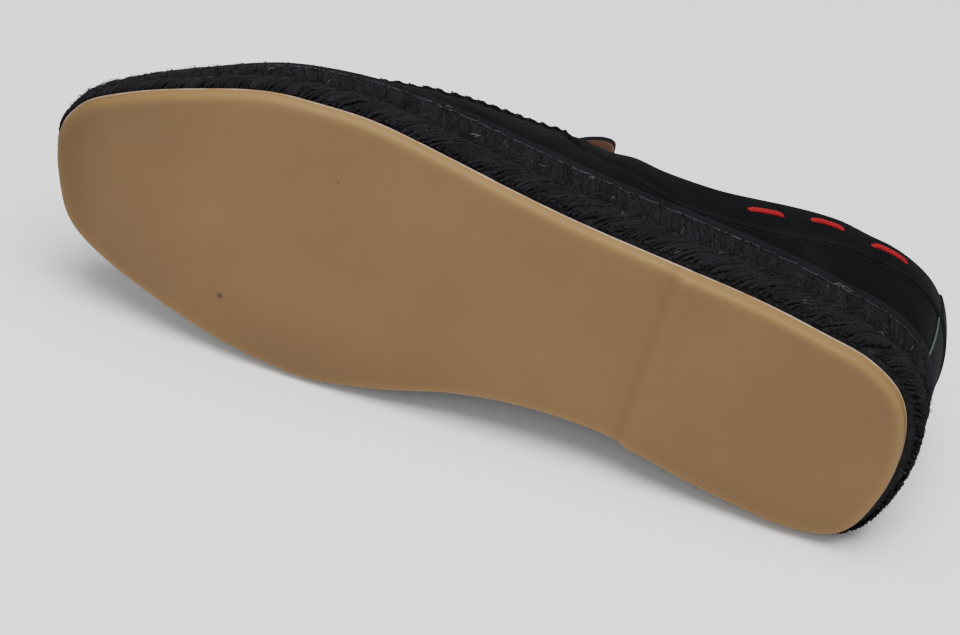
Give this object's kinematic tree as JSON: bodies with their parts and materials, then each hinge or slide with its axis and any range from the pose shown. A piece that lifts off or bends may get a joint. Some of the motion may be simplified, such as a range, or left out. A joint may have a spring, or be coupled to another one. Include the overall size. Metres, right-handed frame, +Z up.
{
  "type": "tassel loafer with a rope sole",
  "caption": "Left tassel loafer in dark suede on a braided jute midsole with a flat rubber outsole, lying on its inner side, open at the collar.",
  "frame": {"origin": "on the floor that the shoe lies on, under the middle of its box", "axes": "+X from the toe to the heel, -Y to the side that the tread faces, +Z up from the inner side to the outer side of the shoe"},
  "size_m": [0.2988, 0.1046, 0.1108],
  "materials": {
    "outsole": "tan, fine matte moulding",
    "rope": "black braided jute",
    "suede": "black suede with a short nap",
    "lining": "smooth tan leather",
    "lace": "red woven cord"
  },
  "bodies": {
    "root": {"outsole": "outsole", "midsole": "rope", "insole": "lining", "upper": "suede", "tongue": "suede", "lace_knot": "lace", "lace_bar_outer": "lace", "lace_bar_inner": "lace", "lace_end_outer": "lace", "lace_end_inner": "lace", "tassel_outer": "suede", "tassel_inner": "suede", "lace_dash_outer_1": "lace", "lace_dash_outer_2": "lace", "lace_dash_outer_3": "lace", "lace_dash_inner_1": "lace", "lace_dash_inner_2": "lace", "lace_dash_inner_3": "lace"}
  },
  "joints": []
}
